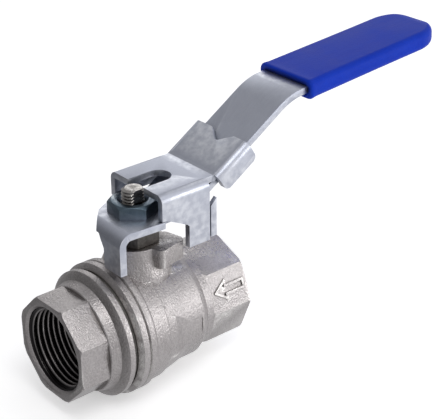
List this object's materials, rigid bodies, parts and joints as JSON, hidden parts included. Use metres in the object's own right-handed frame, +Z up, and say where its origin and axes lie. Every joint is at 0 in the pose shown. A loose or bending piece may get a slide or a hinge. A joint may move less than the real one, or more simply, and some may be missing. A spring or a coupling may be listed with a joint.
{
  "type": "ball valve",
  "caption": "Quarter-turn ball valve with threaded octagonal ends, a bent strip lever in a soft blue grip, and a sliding lock bridge over the stem nut.",
  "frame": {"origin": "centre of the ball, where the pipe axis crosses the stem axis", "axes": "+X along the pipe to the outlet and along the open lever, +Z up the stem"},
  "size_m": [0.1557, 0.042, 0.0901],
  "materials": {
    "nickel_plate": "nickel-plated cast brass, satin",
    "ball_chrome": "polished hard chrome",
    "stem_steel": "turned, bright",
    "brass": "turned",
    "gland_dark": "dark, dull",
    "seal_white": "fluoropolymer, matt",
    "seal_black": "nitrile, matt",
    "zinc_sheet": "bright bluish zinc plate",
    "nut_zinc": "dark bluish zinc plate",
    "blue_vinyl": "dipped vinyl, soft gloss"
  },
  "bodies": {
    "housing": {"body": "nickel_plate", "end_cap": "nickel_plate", "body_gasket": "seal_white", "inlet_seat": "seal_white", "outlet_seat": "seal_white", "stem_packing": "seal_white", "gland_ring": "brass", "gland_nut": "gland_dark"},
    "handle": {"lever": "zinc_sheet", "lever_grip": "blue_vinyl", "stem": "stem_steel", "stem_nut": "nut_zinc", "stem_oring": "seal_black", "thrust_washer": "seal_white"},
    "ball": {"ball": "ball_chrome"},
    "lock": {"lock_slide": "zinc_sheet"}
  },
  "joints": [
    {"name": "lever_turn", "type": "hinge", "parent": "housing", "child": "handle", "pos_m": [0, 0, 0.0358], "axis": [0, 0, 1], "range_deg": [-90, 0]},
    {"name": "ball_turn", "type": "hinge", "parent": "housing", "child": "ball", "pos_m": [0, 0, 0], "axis": [0, 0, 1], "range_deg": [-90, 0]},
    {"name": "lock_lift", "type": "slide", "parent": "handle", "child": "lock", "axis": [0.848, 0, 0.5299], "range_m": [0, 0.01]}
  ],
  "couplings": [
    {"joint": "ball_turn", "follows": "lever_turn", "ratio": 1}
  ]
}
